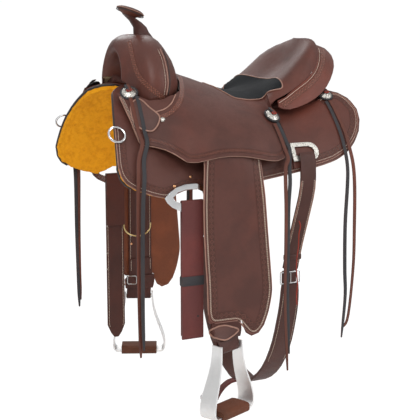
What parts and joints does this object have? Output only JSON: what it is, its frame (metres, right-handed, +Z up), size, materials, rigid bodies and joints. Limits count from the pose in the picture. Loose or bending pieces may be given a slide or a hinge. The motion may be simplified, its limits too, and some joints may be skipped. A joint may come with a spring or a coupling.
{
  "type": "trail saddle",
  "caption": "Western style trail saddle with horn, padded look cantle, fleece lined skirts, fenders with metal stirrups, latigo, flank cinch and hanging strings.",
  "frame": {"origin": "on the saddle's mid-plane at half its length, at the height of the horse's back under the seat", "axes": "-X towards the horse's head, -Y towards the near (left) side, +Z up"},
  "size_m": [0.6724, 0.6434, 1.0124],
  "materials": {
    "skirt_leather": "dark chocolate tooled skirt leather",
    "fleece": "golden woolskin pile",
    "jockey_leather": "dark chocolate tooled leather",
    "rawhide": "hard pale rawhide over wood",
    "fork_leather": "dark chocolate tooled leather",
    "horn_steel": "plain steel post",
    "horn_leather": "dark wrapped leather",
    "horn_cap_leather": "dark leather cap, rust brown below",
    "seat_leather": "dark chocolate leather with tooled borders",
    "inlay_suede": "black rough suede",
    "ground_steel": "plain sheet",
    "roll_leather": "dark chocolate tooled leather",
    "rigging_steel": "polished stainless plate",
    "rear_rigging_silver": "engraved bright plate",
    "concho_silver": "engraved silver with dark lows",
    "dee_steel": "bright ring",
    "fender_leather": "dark chocolate leather, orange brown rough back",
    "stirrup_leather": "dark strap leather",
    "hobble_leather": "dark strap leather",
    "stirrup_aluminium": "brushed aluminium",
    "tread_leather": "brown rough leather",
    "latigo_leather": "burgundy brown soft strap leather",
    "billet_leather": "dark strap leather",
    "buckle_steel": "bright wire buckle",
    "cinch_leather": "dark strap leather",
    "string_leather": "thin strings, charcoal on one face"
  },
  "bodies": {
    "saddle": {"cantle_board": "rawhide", "cantle_roll": "roll_leather", "fork": "rawhide", "fork_cover": "fork_leather", "ground_seat": "ground_steel", "horn": "horn_steel", "horn_cap": "horn_cap_leather", "horn_wrap": "horn_leather", "near_fleece": "fleece", "near_front_concho": "concho_silver", "near_front_dee": "dee_steel", "near_front_rigging_plate": "rigging_steel", "near_front_string_a": "string_leather", "near_front_string_b": "string_leather", "near_middle_concho": "concho_silver", "near_middle_string_a": "string_leather", "near_middle_string_b": "string_leather", "near_rear_billet": "billet_leather", "near_rear_concho": "concho_silver", "near_rear_jockey": "jockey_leather", "near_rear_rigging_plate": "rear_rigging_silver", "near_rear_string_a": "string_leather", "near_rear_string_b": "string_leather", "near_skirt": "skirt_leather", "near_tree_bar": "rawhide", "off_fleece": "fleece", "off_front_concho": "concho_silver", "off_front_dee": "dee_steel", "off_front_rigging_plate": "rigging_steel", "off_front_string_a": "string_leather", "off_front_string_b": "string_leather", "off_middle_concho": "concho_silver", "off_middle_string_a": "string_leather", "off_middle_string_b": "string_leather", "off_rear_billet": "billet_leather", "off_rear_concho": "concho_silver", "off_rear_jockey": "jockey_leather", "off_rear_rigging_plate": "rear_rigging_silver", "off_rear_string_a": "string_leather", "off_rear_string_b": "string_leather", "off_skirt": "skirt_leather", "off_tree_bar": "rawhide", "seat_inlay": "inlay_suede", "seat_leather": "seat_leather"},
    "near_leg": {"near_fender": "fender_leather", "near_stirrup_leather": "stirrup_leather", "near_hobble_strap": "hobble_leather"},
    "near_stirrup": {"near_stirrup": "stirrup_aluminium", "near_tread_cover": "tread_leather"},
    "off_leg": {"off_fender": "fender_leather", "off_stirrup_leather": "stirrup_leather", "off_hobble_strap": "hobble_leather"},
    "off_stirrup": {"off_stirrup": "stirrup_aluminium", "off_tread_cover": "tread_leather"},
    "latigo": {"latigo": "latigo_leather"},
    "off_billet": {"off_billet": "billet_leather"},
    "flank_cinch": {"near_flank_buckle": "buckle_steel", "off_flank_buckle": "buckle_steel", "flank_cinch": "cinch_leather", "connector_strap": "latigo_leather"}
  },
  "joints": [
    {"name": "near_fender_swing", "type": "hinge", "parent": "saddle", "child": "near_leg", "pos_m": [-0.0754, -0.2513, -0.035], "axis": [0, -1, 0], "range_deg": [-10, 10]},
    {"name": "near_stirrup_swing", "type": "hinge", "parent": "near_leg", "child": "near_stirrup", "pos_m": [-0.085, -0.27112, -0.508], "axis": [0.9135, 0.4067, 0], "range_deg": [-45, 45]},
    {"name": "off_fender_swing", "type": "hinge", "parent": "saddle", "child": "off_leg", "pos_m": [-0.0754, 0.2513, -0.035], "axis": [0, -1, 0], "range_deg": [-7.5, 10]},
    {"name": "off_stirrup_swing", "type": "hinge", "parent": "off_leg", "child": "off_stirrup", "pos_m": [-0.085, 0.27112, -0.508], "axis": [0.9135, -0.4067, 0], "range_deg": [-12, 45]},
    {"name": "latigo_swing", "type": "hinge", "parent": "saddle", "child": "latigo", "pos_m": [-0.1617, -0.24255, -0.1633], "axis": [-1, 0, 0], "range_deg": [0, 3]},
    {"name": "off_billet_swing", "type": "hinge", "parent": "saddle", "child": "off_billet", "pos_m": [-0.1617, 0.24255, -0.1633], "axis": [1, 0, 0], "range_deg": [0, 3]},
    {"name": "rear_cinch_swing", "type": "hinge", "parent": "saddle", "child": "flank_cinch", "pos_m": [0.103, 0, -0.3545], "axis": [0, -1, 0], "range_deg": [-12, 8]}
  ]
}
